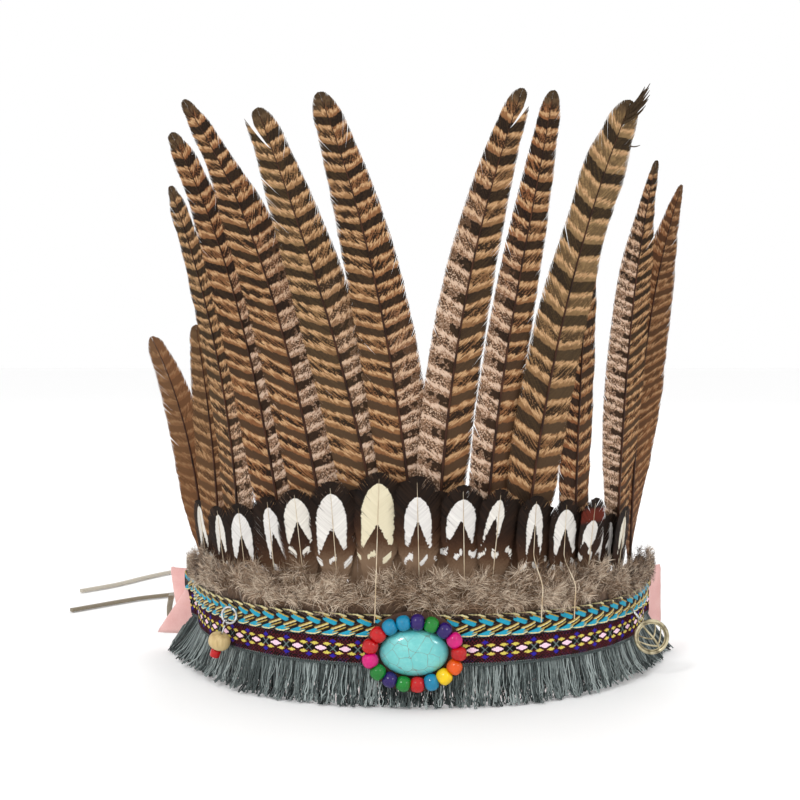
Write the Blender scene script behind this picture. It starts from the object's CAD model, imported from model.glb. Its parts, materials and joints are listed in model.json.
import json
import math

import bpy
import numpy as np
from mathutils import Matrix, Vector


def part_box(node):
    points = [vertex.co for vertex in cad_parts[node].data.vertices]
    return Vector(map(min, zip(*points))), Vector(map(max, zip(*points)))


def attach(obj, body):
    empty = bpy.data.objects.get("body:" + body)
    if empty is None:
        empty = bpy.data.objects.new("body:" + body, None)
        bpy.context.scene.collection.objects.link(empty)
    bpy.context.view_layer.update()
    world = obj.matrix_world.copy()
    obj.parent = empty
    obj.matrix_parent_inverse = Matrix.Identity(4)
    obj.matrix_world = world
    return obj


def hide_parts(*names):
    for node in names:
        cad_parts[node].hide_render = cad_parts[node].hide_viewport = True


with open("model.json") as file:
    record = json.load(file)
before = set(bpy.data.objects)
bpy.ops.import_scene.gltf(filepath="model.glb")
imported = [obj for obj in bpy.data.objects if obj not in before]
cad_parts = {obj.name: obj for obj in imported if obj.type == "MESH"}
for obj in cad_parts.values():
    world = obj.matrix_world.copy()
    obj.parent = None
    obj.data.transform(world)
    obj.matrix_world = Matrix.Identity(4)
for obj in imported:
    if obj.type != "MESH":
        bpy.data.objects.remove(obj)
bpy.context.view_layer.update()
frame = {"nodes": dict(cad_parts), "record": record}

# A feathered headdress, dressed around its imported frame. Metres, +Z up, the front of the band
# towards -Y. Lengths with the factor MM are in millimetres.
MM = 0.001
UP = np.array([0, 0, 1.0])


# Camera: level, at the photograph's distance, and shifted as the photograph is framed
camera_place = (4.88 * MM, -661.0 * MM, 171.3 * MM)
focal_pixels = 1368
image_pixels = 800
principal_pixel = (417, 318)
sensor_width = 36

camera_data = bpy.data.cameras.new("camera")
camera_data.sensor_width = sensor_width
camera_data.lens = sensor_width * focal_pixels / image_pixels
camera_data.shift_x = (image_pixels / 2 - principal_pixel[0]) / image_pixels
camera_data.shift_y = (principal_pixel[1] - image_pixels / 2) / image_pixels
camera = bpy.data.objects.new("camera", camera_data)
camera.location = camera_place
camera.rotation_euler = (math.radians(90), 0, 0)
bpy.context.scene.collection.objects.link(camera)
bpy.context.scene.camera = camera


# Numbers and arrays
def unit(v):
    return v / np.maximum(np.linalg.norm(v, axis=-1, keepdims=True), 1e-12)


def smooth_step(x, low, high):
    t = np.clip((x - low) / (high - low), 0, 1)
    return t * t * (3 - 2 * t)


def signed_power(value, power):
    """A power that keeps the sign. It squares up a round section made of a cosine and a sine."""
    return np.sign(value) * np.abs(value) ** power


def hermite(x, xs, ys):
    """A smooth curve through the points (xs, ys), at x."""
    slope = np.gradient(ys, xs, axis=0)
    i = np.clip(np.searchsorted(xs, x) - 1, 0, len(xs) - 2)
    h = xs[i + 1] - xs[i]
    t = (x - xs[i]) / h
    shape = np.shape(t) + (1,) * (np.ndim(ys) - 1)
    t, h = np.reshape(t, shape), np.reshape(h, shape)
    return ((2 * t**3 - 3 * t**2 + 1) * ys[i] + (t**3 - 2 * t**2 + t) * h * slope[i]
            + (3 * t**2 - 2 * t**3) * ys[i + 1] + (t**3 - t**2) * h * slope[i + 1])


def wander(x, steps, seed):
    """Smooth noise from -1 to 1 along x, with one random value for each of so many steps over 0 to 1."""
    values = np.random.default_rng(seed).uniform(-1, 1, steps + 4)
    at = np.clip(x, 0, 1) * steps + 1
    i = np.floor(at).astype(int)
    t = smooth_step(at - i, 0, 1)
    return values[i] * (1 - t) + values[i + 1] * t


def rgb(code):
    """A hex colour as linear values."""
    parts = [int(code[i:i + 2], 16) / 255 for i in (1, 3, 5)]
    return (*[p / 12.92 if p <= 0.04045 else ((p + 0.055) / 1.055) ** 2.4 for p in parts], 1.0)


# Meshes. A shape is an array of vertices and its faces.
def new_object(name, shape, looks, attributes=None, kinds=None, smooth=True):
    """attributes maps a name to one number for each vertex, or to one for all. kinds holds the number of
    each face's look, and smooth may differ from face to face."""
    vertices, faces = shape
    mesh = bpy.data.meshes.new(name)
    faces = faces if isinstance(faces, list) else faces.tolist()
    mesh.from_pydata(np.reshape(vertices, (-1, 3)).tolist(), [], faces)
    for look in looks:
        mesh.materials.append(look)
    for key, values in (attributes or {}).items():
        layer = mesh.attributes.new(key, "FLOAT", "POINT")
        layer.data.foreach_set("value", np.array(np.broadcast_to(values, len(mesh.vertices)), np.float32))
    if kinds is not None:
        mesh.polygons.foreach_set("material_index", np.asarray(kinds, np.int32).ravel())
    mesh.polygons.foreach_set("use_smooth", np.array(np.broadcast_to(smooth, len(faces))))
    mesh.update()
    thing = bpy.data.objects.new(name, mesh)
    bpy.context.scene.collection.objects.link(thing)
    return thing


def piece(name, shape, looks, slot, *nodes, **data):
    """A new object that rides on the body, takes the slot's finish and stands for the nodes."""
    thing = new_object(name, shape, looks, **data)
    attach(thing, "root")
    if nodes:
        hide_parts(*nodes)
    return thing


def grid_faces(rows, columns, wrap=False):
    """Quads between rows of as many points. wrap joins the last column to the first."""
    across = columns if wrap else columns - 1
    i, k = np.meshgrid(np.arange(rows - 1), np.arange(across), indexing="ij")
    a = i * columns + k
    b = i * columns + (k + 1) % columns
    return np.stack([a, b, b + columns, a + columns], -1).reshape(-1, 4)


def repeated(faces, count, each):
    """The same faces for so many copies of so many vertices."""
    return ((np.arange(count) * each)[:, None, None] + faces).reshape(-1, 4)


def as_paths(paths):
    """One path or several, as an array of path, point and x, y, z."""
    return np.reshape(paths, (-1, *np.shape(paths)[-2:]))


def tubes(paths, radii, sides, reference, turn=0.0):
    """Tubes along paths, with one radius for each point. The reference direction is never along a path."""
    paths = as_paths(paths)
    count, points, _ = paths.shape
    along = unit(np.gradient(paths, axis=1))
    side = unit(np.cross(along, np.broadcast_to(reference, paths.shape)))[:, :, None]
    other = np.cross(side, along[:, :, None])
    angle = (np.arange(sides) * 2 * math.pi / sides + turn)[:, None]
    radii = np.broadcast_to(radii, (count, points))[:, :, None, None]
    ring = paths[:, :, None] + radii * (np.cos(angle) * side + np.sin(angle) * other)
    return ring.reshape(-1, 3), repeated(grid_faces(points, sides, wrap=True), count, points * sides)


def strips(paths, halves, sides):
    """Flat strips along paths, with one half width and one sideways direction for each point."""
    paths = as_paths(paths)
    count, points, _ = paths.shape
    step = sides * np.broadcast_to(halves, (count, points))[..., None]
    edges = np.stack([paths - step, paths + step], 2)
    return edges.reshape(-1, 3), repeated(grid_faces(points, 2), count, points * 2)


def together(parts):
    """One shape and its attributes, from several parts that each have a shape and attributes."""
    counts = [len(vertices) for (vertices, _), _ in parts]
    starts = np.cumsum([0] + counts)
    vertices = np.concatenate([vertices for (vertices, _), _ in parts])
    faces = np.concatenate([faces + start for ((_, faces), _), start in zip(parts, starts)])
    attributes = {}
    for key in parts[0][1]:
        full = [np.broadcast_to(values[key], count) for (_, values), count in zip(parts, counts)]
        attributes[key] = np.concatenate(full)
    return (vertices, faces), attributes


# What the frame says
def node_points(node):
    mesh = frame["nodes"][node].data
    points = np.empty(len(mesh.vertices) * 3)
    mesh.vertices.foreach_get("co", points)
    return np.unique(np.round(points.reshape(-1, 3), 6), axis=0)


felt_low, felt_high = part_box("felt_lining")
ribbon_low, ribbon_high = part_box("jacquard_ribbon")
felt_tall = felt_high.z - felt_low.z

# A point inside the open loop, from which the whole wall is seen
inside_share = 0.75
inside_x = (ribbon_low.x + ribbon_high.x) / 2
inside_y = felt_low.y + inside_share * (felt_high.y - felt_low.y)


def rail(height):
    """The middle of the felt's wall at each of its stations, from left to right, at its points near a
    height, and half the step outward across the wall."""
    points = node_points("felt_lining")
    points = points[np.abs(points[:, 2] - height) <= MM]
    angle = np.degrees(np.arctan2(points[:, 1] - inside_y, points[:, 0] - inside_x))
    points = points[np.argsort(np.where(angle < 90, angle + 360, angle))]
    pairs = points.reshape(-1, 2, 3)
    half = (pairs[:, 1] - pairs[:, 0]) / 2
    outward = pairs.mean(1)[:, :2] - (inside_x, inside_y)
    across = (half[:, :2] * outward).sum(1)
    plain = np.abs(across) >= 0.4 * np.linalg.norm(half, axis=1) * np.linalg.norm(outward, axis=1)
    flip = np.sign(across) * plain
    known = np.flatnonzero(flip)
    for i in [*range(known[0] - 1, -1, -1), *range(known[-1] + 1, len(flip))]:
        near = i + 1 if i < known[0] else i - 1
        flip[i] = np.sign(np.dot(half[i], half[near] * flip[near]))
    return pairs.mean(1), half * flip[:, None]


rail_top, rail_half = rail(felt_high.z)
rail_bottom, _ = rail(felt_low.z)
rail_station = np.arange(len(rail_top))


class Band:
    """The line that the band follows, at the middle of the felt. s is the length along it from the
    middle of the front, to the right, and an offset is measured outward."""

    def __init__(self):
        self.points = hermite(np.linspace(0, rail_station[-1], 3000), rail_station, rail_top[:, :2])
        step = np.linalg.norm(np.diff(self.points, axis=0), axis=1)
        length = np.concatenate([[0], np.cumsum(step)])
        self.s = length - length[self.points[:, 1].argmin()]
        self.along = unit(np.gradient(self.points, axis=0))
        self.out = np.stack([self.along[:, 1], -self.along[:, 0]], 1)

    def read(self, s, table):
        return np.stack([np.interp(s, self.s, table[:, k]) for k in range(table.shape[1])], -1)

    def at(self, s, offset, z):
        """Points of the band."""
        s, offset, z = np.broadcast_arrays(np.asarray(s, float), offset, z)
        flat = self.read(s, self.points) + self.read(s, self.out) * offset[..., None]
        return np.concatenate([flat, z[..., None]], -1)

    def direction(self, s, table):
        flat = unit(self.read(np.asarray(s, float), table))
        return np.concatenate([flat, np.zeros(flat.shape[:-1] + (1,))], -1)

    def outward(self, s):
        return self.direction(s, self.out)

    def forward(self, s):
        return self.direction(s, self.along)

    def measure(self, points):
        """s and offset of points."""
        gap = ((points[:, None, :2] - self.points[None]) ** 2).sum(-1)
        near = gap.argmin(1)
        return self.s[near], ((points[:, :2] - self.points[near]) * self.out[near]).sum(1)


band = Band()


class Span:
    """How far a node reaches along the band, out of it and up."""

    def __init__(self, node):
        points = node_points(node)
        self.s, self.offset = band.measure(points)
        self.z = points[:, 2]
        self.left, self.right = self.s.min(), self.s.max()
        self.run = self.right - self.left
        self.inner, self.outer = self.offset.min(), self.offset.max()
        self.low, self.high = self.z.min(), self.z.max()
        self.tall = self.high - self.low


ribbon_span = Span("jacquard_ribbon")
braid_span = Span("braid_trim")
ruff_span = Span("down_ruff")
fringe_span = Span("fringe")


# Cords: the laces leave the felt's tabs, fall to the floor and lie there. Their routes are the
# frame's, in millimetres, and the lace is a flat strip of suede.
lace_width = 3 * MM
lace_thickness = 2.2 * MM
tie_left_route = np.array([
    [-124.6, 59, 24], [-125.2, 64.2, 24.2], [-126.5, 70.5, 22], [-128.5, 76.5, 15.5], [-129.5, 83, 7],
    [-130.5, 92, 1.6], [-125, 112, 1.6], [-104, 130, 1.6], [-74, 141, 1.6], [-42, 148, 1.6], [-10, 160, 1.6],
    [4, 180, 1.6], [-10, 202, 1.6], [-44, 211, 1.6], [-80, 208, 1.6], [-112, 198, 1.6], [-135, 186, 1.6],
    [-147, 178, 1.6], [-162, 168.5, 1.6], [-174, 157, 1.6], [-185, 145.5, 1.6], [-196, 134, 1.6],
]) * MM
tie_right_route = np.array([
    [125.3, 62.9, 24], [121.3, 66.6, 24.2], [116.2, 71.3, 21.5], [111, 76, 14.5], [106, 81, 6.5],
    [100.5, 88.5, 1.6], [92, 116, 1.6], [79, 147, 1.6], [59, 177, 1.6], [33, 205, 1.6], [2, 229, 1.6],
    [-33, 247, 1.6], [-70, 259.5, 1.6], [-104, 266.5, 1.6], [-132, 268, 1.6], [-150.5, 262, 1.6],
    [-163, 248.5, 1.6], [-173, 233.5, 1.6], [-186, 211, 1.6], [-204, 190, 1.6],
]) * MM


# Materials, and the sockets of the surface that they may set
finish_sockets = {
    "metallic": "Metallic", "specular": "Specular IOR Level", "sheen": "Sheen Weight",
    "sheen_roughness": "Sheen Roughness", "coat": "Coat Weight", "coat_roughness": "Coat Roughness",
}


class Shader:
    """One node material."""

    def __init__(self, name):
        self.material = bpy.data.materials.new(name)
        self.material.use_nodes = True
        self.tree = self.material.node_tree
        self.out = self.tree.nodes["Principled BSDF"]
        self.object = self.tree.nodes.new("ShaderNodeTexCoord").outputs["Object"]

    def put(self, socket, value):
        if isinstance(value, bpy.types.NodeSocket):
            self.tree.links.new(value, socket)
        else:
            socket.default_value = value

    def add(self, kind, inputs, **settings):
        """A new node with these settings, and with these values or outputs on its inputs."""
        node = self.tree.nodes.new("ShaderNode" + kind)
        for key, value in settings.items():
            setattr(node, key, value)
        for key, value in inputs.items():
            self.put(node.inputs[key], value)
        return node.outputs

    def attribute(self, name):
        return self.add("Attribute", {}, attribute_name=name)["Fac"]

    def maths(self, operation, *values):
        return self.add("Math", dict(enumerate(values)), operation=operation)[0]

    def times(self, a, b):
        return self.maths("MULTIPLY", a, b)

    def vary(self, value, amount, base):
        """base, more or less by a value from 0 to 1."""
        return self.maths("MULTIPLY_ADD", self.maths("SUBTRACT", value, 0.5), amount, base)

    def stretch(self, scale):
        return self.add("Mapping", {"Vector": self.object, "Scale": scale})[0]

    def noise(self, scale, detail=2.0, vector=None, roughness=0.5, output="Fac"):
        inputs = {"Vector": vector or self.object, "Scale": scale, "Detail": detail, "Roughness": roughness}
        return self.add("TexNoise", inputs)[output]

    def cells(self, scale, feature="F1", vector=None):
        inputs = {"Vector": vector or self.object, "Scale": scale}
        return self.add("TexVoronoi", inputs, feature=feature)["Distance"]

    def span(self, value, low, high, to_low=0.0, to_high=1.0):
        """value from low to high, as a clamped value from to_low to to_high."""
        return self.add("MapRange", dict(enumerate((value, low, high, to_low, to_high))), clamp=True)[0]

    def ramp(self, value, stops):
        node = self.tree.nodes.new("ShaderNodeValToRGB")
        self.put(node.inputs["Fac"], value)
        elements = node.color_ramp.elements
        while len(elements) < len(stops):
            elements.new(0.5)
        for element, (position, code) in zip(elements, stops):
            element.position = position
            element.color = rgb(code)
        return node.outputs["Color"]

    def mix(self, share, a, b, blend="MIX"):
        a, b = (rgb(value) if isinstance(value, str) else value for value in (a, b))
        return self.add("Mix", {0: share, 6: a, 7: b}, data_type="RGBA", blend_type=blend)[2]

    def bump(self, height, distance, strength=1.0):
        inputs = {"Height": height, "Distance": distance, "Strength": strength}
        self.put(self.out.inputs["Normal"], self.add("Bump", inputs)[0])

    def done(self, color, roughness, **finish):
        """The material, with this colour, this roughness and these constants of its surface."""
        self.put(self.out.inputs["Base Color"], rgb(color) if isinstance(color, str) else color)
        self.put(self.out.inputs["Roughness"], roughness)
        for key, value in finish.items():
            self.out.inputs[finish_sockets[key]].default_value = value
        return self.material


def fibre_material(name, base, dark, light, sheen, scale):
    """Yarn or barb: each strand has its own tone, with finer mottling along it."""
    shader = Shader(name)
    fine = shader.noise(scale, 3)
    tone = shader.vary(fine, 0.5, shader.attribute("tone"))
    shader.bump(fine, 0.1 * MM, 0.4)
    color = shader.ramp(tone, [(0.0, dark), (0.5, base), (1.0, light)])
    return shader.done(color, 0.85, sheen=sheen, specular=0.2)


def tail_material():
    """Barred vane. bar counts the bars from the tip, and tooth is how ragged their pale edges are. pink is
    how far a web is the pale, spotted one, olive how far it leans from rufous to olive, faint how pale
    its dark bars are and plain how far the bars are lost. margin grows to the edge, and tip is the end."""
    shader = Shader("tail_vane")
    names = ("bar", "tooth", "tone", "pink", "olive", "margin", "tip", "faint", "plain")
    bar, tooth, tone, pink, olive, margin, tip, faint, plain = map(shader.attribute, names)
    blotch = shader.noise(420, 3)
    speck = shader.noise(1500, 2)
    pepper = shader.noise(1500, 1)

    # From 0 to 1, a bar is dark, cream, mottled ground, cream again and plain ground
    jag = shader.vary(blotch, 0.10, bar)
    solid_phase = shader.maths("FRACT", shader.maths("MULTIPLY_ADD", tooth, 0.35, jag))
    phase = shader.maths("FRACT", shader.maths("MULTIPLY_ADD", tooth, 1.1, jag))

    def brown(rufous, drab):
        return shader.mix(olive, rufous, drab)

    def window(start, full, fade, end):
        return shader.times(shader.span(phase, start, full), shader.span(phase, fade, end, 1.0, 0.0))

    blotched = shader.span(blotch, 0.35, 0.65)
    ground = shader.mix(blotched, brown("#714429", "#6D563A"), brown("#875836", "#876D4A"))
    ground = shader.mix(pink, ground, "#94765F")
    streak = shader.vary(tone, 0.55, speck)
    mottled = shader.mix(shader.span(streak, 0.36, 0.50), ground, brown("#21150D", "#33271A"))
    rufous_bars = shader.span(olive, 0.75, 0.95, 1.0, 0.45)
    some = shader.times(shader.maths("MULTIPLY_ADD", pink, -0.5, 1.0), rufous_bars)
    color = shader.mix(shader.times(window(0.47, 0.51, 0.73, 0.76), some), ground, mottled)

    spotted = shader.times(shader.span(pink, 0.0, 0.6), shader.span(margin, 0.05, 0.4, 0.3, 0.75))
    color = shader.mix(shader.times(shader.span(pepper, 0.55, 0.6), spotted), color, "#33241A")
    color = shader.mix(shader.times(shader.span(pepper, 0.42, 0.38), spotted), color, "#C7AE98")
    cream = shader.mix(pink, shader.mix(shader.span(speck, 0.35, 0.7), "#BE9A72", "#9C7550"), "#CDB5A3")
    color = shader.mix(window(0.74, 0.77, 0.83, 0.88), color, cream)
    color = shader.mix(window(0.31, 0.34, 0.40, 0.45), color, cream)

    streaked = shader.span(streak, 0.3, 0.75)
    dark = shader.mix(streaked, brown("#190F0A", "#261C13"), brown("#2E1F14", "#43341F"))
    dark = shader.mix(faint, dark, brown("#553C2A", "#5A4A34"))
    solid = shader.maths("MAXIMUM", shader.span(solid_phase, 0.28, 0.31, 1.0, 0.0),
                         shader.span(solid_phase, 0.975, 1.0))
    spots = shader.span(shader.maths("MULTIPLY_ADD", margin, -0.42, blotch), 0.27, 0.30)
    kept = shader.maths("ADD", shader.times(spots, pink), shader.maths("SUBTRACT", 1.0, pink))
    color = shader.mix(shader.times(solid, kept), color, dark)
    color = shader.mix(tip, color, shader.mix(shader.span(speck, 0.3, 0.7), "#33261A", "#4D3D2A"))
    color = shader.mix(plain, color, brown("#6B4226", "#6E543B"))
    shader.bump(speck, 0.05 * MM, 0.3)
    return shader.done(color, 0.75, specular=0.12)


def plume_material():
    """Small body feather: black at the rim, white where white is over nought, brown below."""
    shader = Shader("plume_vane")
    names = ("white", "depth", "tone", "cream", "rust")
    white, depth, tone, cream, rust = map(shader.attribute, names)
    fine = shader.noise(1300, 2)
    dark = shader.ramp(shader.vary(fine, 0.12, depth), [
        (0.0, "#0B0807"), (0.36, "#130C09"), (0.52, "#2A180F"), (0.68, "#4A3323"), (0.85, "#7B6450")])
    dark = shader.mix(shader.times(tone, 0.12), dark, "#6A4A32")
    dark = shader.mix(rust, dark, "#5A1E10")
    pale = shader.mix(cream, shader.mix(tone, "#C9C5C1", "#E2DFDA"), "#D6C898")
    shader.bump(fine, 0.04 * MM, 0.3)
    return shader.done(shader.mix(shader.span(white, -0.1, 0.1), dark, pale), 0.7, specular=0.12)


def quill_material(name, base, light):
    shader = Shader(name)
    fine = shader.noise(700, 3, shader.stretch((1, 1, 0.15)))
    shader.bump(fine, 0.05 * MM, 0.3)
    return shader.done(shader.mix(shader.span(fine, 0.35, 0.7), base, light), 0.5, specular=0.15)


def felt_material():
    shader = Shader("felt_wool")
    broad = shader.noise(90, 3)
    fibre = shader.noise(1800, 4, shader.stretch((1, 1, 2.2)), 0.65)
    color = shader.mix(shader.span(broad, 0.3, 0.7), "#D79C97", "#E6B5AF")
    color = shader.mix(shader.span(fibre, 0.5, 0.75, 0.0, 0.5), color, "#F3D3CE")
    shader.bump(shader.maths("ADD", fibre, broad), 0.22 * MM, 0.7)
    return shader.done(color, 0.95, sheen=0.5, sheen_roughness=0.6)


def thread_material(name, code, roughness=0.6, sheen=0.2, metallic=0.0):
    shader = Shader(name)
    fine = shader.noise(2600, 2)
    color = shader.mix(shader.span(fine, 0.35, 0.75, 0.0, 0.35), code, "#FFFFFF", "SOFT_LIGHT")
    color = shader.mix(shader.span(fine, 0.2, 0.45, 0.3, 0.0), color, "#000000")
    shader.bump(fine, 0.06 * MM, 0.5)
    return shader.done(color, roughness, sheen=sheen, metallic=metallic, specular=0.12)


def painted_bead_material(name, code):
    shader = Shader(name)
    broad = shader.noise(260, 2)
    grain = shader.noise(900, 2, shader.stretch((1, 0.3, 1)))
    color = shader.mix(shader.span(broad, 0.35, 0.7, 0.0, 0.22), code, "#000000")
    color = shader.mix(shader.span(grain, 0.62, 0.8, 0.0, 0.3), color, "#FFFFFF", "SOFT_LIGHT")
    shader.bump(shader.maths("ADD", broad, shader.times(grain, 0.25)), 0.2 * MM, 0.5)
    return shader.done(color, 0.45, coat=0.7, coat_roughness=0.05, specular=0.1)


def turquoise_material():
    """Blue-green stone with a net of brown veins, stronger in some places than in others."""
    shader = Shader("turquoise_stone")
    bend = shader.noise(110, 3)
    inputs = {0: shader.noise(130, output="Color"), 1: (3 * MM, 3 * MM, 3 * MM), 2: shader.object}
    warped = shader.add("VectorMath", inputs, operation="MULTIPLY_ADD")[0]
    vein = shader.cells(190, "DISTANCE_TO_EDGE", warped)
    fine = shader.cells(420, "DISTANCE_TO_EDGE", warped)
    color = shader.mix(shader.span(bend, 0.3, 0.7), "#4FAFB0", "#6FC6C2")
    color = shader.mix(shader.span(shader.noise(600, 3), 0.55, 0.75, 0.0, 0.35), color, "#8FD6D0")
    strong = shader.times(shader.span(vein, 0.006, 0.02, 0.9, 0.0), shader.span(bend, 0.36, 0.52))
    weak = shader.times(shader.span(fine, 0.004, 0.014, 0.4, 0.0), shader.span(bend, 0.5, 0.62))
    color = shader.mix(shader.maths("MAXIMUM", strong, weak), color, "#6E6152")
    shader.bump(shader.times(strong, -1.0), 0.05 * MM, 0.5)
    return shader.done(color, 0.3, coat=0.8, coat_roughness=0.08)


def metal_material(name, bright, dull, roughness, wear=400):
    shader = Shader(name)
    stain = shader.noise(wear, 4)
    color = shader.mix(shader.span(stain, 0.4, 0.7), bright, dull)
    shader.bump(shader.noise(wear * 3, 2), 0.05 * MM, 0.3)
    return shader.done(color, shader.span(stain, 0.3, 0.8, roughness, roughness + 0.2), metallic=1.0)


def wood_material():
    shader = Shader("bare_wood")
    grain = shader.noise(500, 4, shader.stretch((1, 1, 0.18)))
    shader.bump(grain, 0.08 * MM, 0.5)
    return shader.done(shader.ramp(grain, [(0.3, "#A98D5C"), (0.5, "#C2A976"), (0.7, "#D2BC8C")]), 0.5)


def suede_material(name, code, light, dark):
    shader = Shader(name)
    nap = shader.noise(1600, 4, roughness=0.7)
    color = shader.mix(shader.span(nap, 0.3, 0.7), dark, light)
    color = shader.mix(shader.span(shader.noise(120, 2), 0.3, 0.7, 0.2, 0.8), color, code)
    shader.bump(nap, 0.2 * MM, 0.7)
    return shader.done(color, 0.92, sheen=0.4)


def leather_material():
    shader = Shader("backing_leather")
    color = shader.mix(shader.span(shader.noise(300, 3), 0.3, 0.7), "#3A241A", "#573A28")
    shader.bump(shader.cells(1400), 0.12 * MM, 0.6)
    return shader.done(color, 0.75)


# Feathers, read from the frame's own solids
class Spine:
    """A feather's quill and how wide its vane is, from the sections of its node. up runs along it from 0
    at the foot to 1 at the tip, and blunt widens the topmost sections."""

    section_points = 6

    def __init__(self, node, blunt=(), round_from=0.94, twist=0.0):
        points = node_points(node)
        sections = points[np.argsort(points[:, 2])].reshape(-1, self.section_points, 3)
        self.centre = sections.mean(1)
        self.twist, self.round_from = twist, round_from
        self.s = band.measure(self.centre[:1])[0][0]
        forward = band.forward(self.s)
        sides, halves = [], []
        for section in sections - self.centre[:, None]:
            _, _, axes = np.linalg.svd(section)
            sides.append(axes[0] * np.sign(axes[0] @ forward))
            halves.append(np.abs(section @ sides[-1]).max())
        self.side, self.half = unit(np.array(sides)), np.array(halves)
        for k, factor in enumerate(reversed(blunt), 1):
            self.half[-k] *= factor
        self.set_ends(self.centre[0, 2], self.centre[-1, 2])
        self.up = (self.centre[:, 2] - self.foot) / self.high
        self.fit_curve(5 if len(self.up) > 8 else 4)

    def set_ends(self, foot, tip):
        self.foot, self.tip = foot, tip
        self.high = tip - foot

    def fit_curve(self, degree):
        self.fits = [np.polyfit(self.up, self.centre[:, k], degree) for k in range(3)]

    @classmethod
    def between(cls, one, two, share, lower, behind):
        """A spine between two like ones, with a lower tip and set further back."""
        def blend(name):
            return getattr(one, name) * (1 - share) + getattr(two, name) * share

        middle = cls.__new__(cls)
        middle.twist, middle.round_from, middle.up = 0.0, one.round_from, one.up
        middle.set_ends(blend("foot"), blend("tip") + lower)
        middle.half, middle.s = blend("half"), blend("s")
        forward = band.forward(middle.s)
        middle.side = unit(forward + UP * blend("side")[:, 2:])
        middle.centre = blend("centre") + behind * band.outward(middle.s)
        middle.centre[:, 2] += lower * middle.up
        middle.fit_curve(4)
        return middle

    def at(self, up):
        return np.stack([np.polyval(fit, up) for fit in self.fits], -1)

    def side_at(self, up):
        """The way across the vane. A twisted feather turns about its quill on the way up."""
        side = unit(hermite(up, self.up, self.side))
        if not self.twist:
            return side
        turn = (self.twist * smooth_step(up, 0.1, 0.55))[..., None]
        return unit(side * np.cos(turn) + np.cross(self.ahead_at(up), side) * np.sin(turn))

    def half_at(self, up):
        """Half the width of the vane, with a rounded tip."""
        low = np.minimum(up, self.round_from)
        end = np.clip((up - self.round_from) / (1 - self.round_from), 0, 1)
        return np.maximum(hermite(low, self.up, self.half) * np.sqrt(1 - end**2), 0.1 * MM)

    def ahead_at(self, up):
        return unit(self.at(up + 0.004) - self.at(up - 0.004))

    def out_at(self, up):
        return unit(np.cross(self.side_at(up), self.ahead_at(up)))


# Kinds of vane: where it starts on the quill, how wide a barb is and how many points it has, how far
# the vane curves back, how steep the barbs are on the way up, and how ragged and how loose they are
tail_vane = {"start": 0.13, "barb": 0.52 * MM, "points": 8, "camber": 1.1 * MM,
             "slopes": (1.25, 1.35, 1.7, 2.6), "ragged": 0.25 * MM, "loose": 0.25 * MM}
plume_vane = {"start": 0.2, "barb": 0.34 * MM, "points": 9, "camber": 0.5 * MM,
              "slopes": (0.9, 0.9, 1.1, 1.7), "ragged": 0.5 * MM, "loose": 0.35 * MM}
under_vane = {**plume_vane, "barb": 0.374 * MM, "points": 7, "camber": 0.4 * MM, "loose": 0.4 * MM}
last_barb = 0.998
shingle_lift = 0.1


def barb_reach(spine, root, slope):
    """How far each barb reaches sideways to end at the vane's edge, and how far up it ends."""
    reach = spine.half_at(root)
    for _ in range(6):
        end = np.minimum(root + reach * slope / spine.high, 1 - (1 - root) * 0.12)
        reach = 0.5 * (reach + spine.half_at(end))
    return reach, end


def drift_of_barbs(spine, kind, root, random):
    """How far up the barbs' ends are pushed: apart at a few splits, and a little everywhere."""
    drift = np.zeros(len(root))
    for _ in range(2 + len(root) // 160):
        away = root - random.uniform(kind["start"] + 0.08, 0.93)
        drift += np.sign(away) * random.uniform(0.1, 0.6) * MM / spine.high * np.exp(-np.abs(away) / 0.012)
    looseness = np.interp(root, [kind["start"], kind["start"] + 0.12], [4, 0.3])
    return drift + kind["loose"] / spine.high * random.normal(0, 0.5, len(root)) * looseness


def vane(spine, kind, seed, cuts=()):
    """Both webs of a feather as barbs: the paths of the barbs and what the material needs to know. A barb
    leaves the quill at its root, runs forward and ends at the vane's edge. A cut is a web, a height on
    the quill, how much of the web is left above it and how far the web below it stands off."""
    random = np.random.default_rng(seed)
    count = int((last_barb - kind["start"]) * spine.high / kind["barb"])
    root = np.linspace(kind["start"], last_barb, count)
    steps = np.linspace(0, 1, count)
    slope = np.interp(root, [kind["start"], 0.6, 0.88, 1], kind["slopes"])
    q = np.linspace(0, 1, kind["points"])
    webs = []
    for web in (-1, 1):
        reach, end = barb_reach(spine, root, slope)
        group = wander(steps, max(4, count // 10), seed + web)
        reach = reach + kind["ragged"] * (random.normal(0, 0.4, count) + 0.7 * group)
        drift = drift_of_barbs(spine, kind, root, random)
        for cut_web, place_up, keep, stand in cuts:
            if cut_web == web:
                away = root - place_up
                near = stand * np.exp(-np.abs(away) / 0.03) * (away <= 0)
                reach = np.where(away > 0, np.minimum(reach, keep + 0.25 * reach), reach) + near * 0.3
                drift = drift + near / spine.high
        up = root[:, None] + (end - root)[:, None] * q**1.2 + drift[:, None] * q**2
        up = np.clip(up, 0, 1.0)
        lateral = web * reach[:, None] * q**0.95
        bulge = 0.3 * MM * group[:, None] * q**2 - kind["camber"] * (np.abs(lateral) / spine.half.max()) ** 2
        out = spine.out_at(up)
        tooth = 0.7 * wander(steps, int(count / 2.6), seed + 7 + web) + 0.35 * random.normal(0, 1, count)
        tone = 0.5 + 0.22 * random.normal(0, 1, count) + 0.2 * group
        webs.append({
            "web": web, "barb": kind["barb"], "up": up, "lateral": lateral,
            "paths": spine.at(up) + spine.side_at(up) * lateral[..., None] + out * bulge[..., None],
            "ahead": spine.ahead_at(up), "out": out, "from_tip": (1 - up) * spine.high,
            "tooth": tooth[:, None], "tone": np.clip(tone, 0, 1)[:, None],
        })
    return webs


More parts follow.
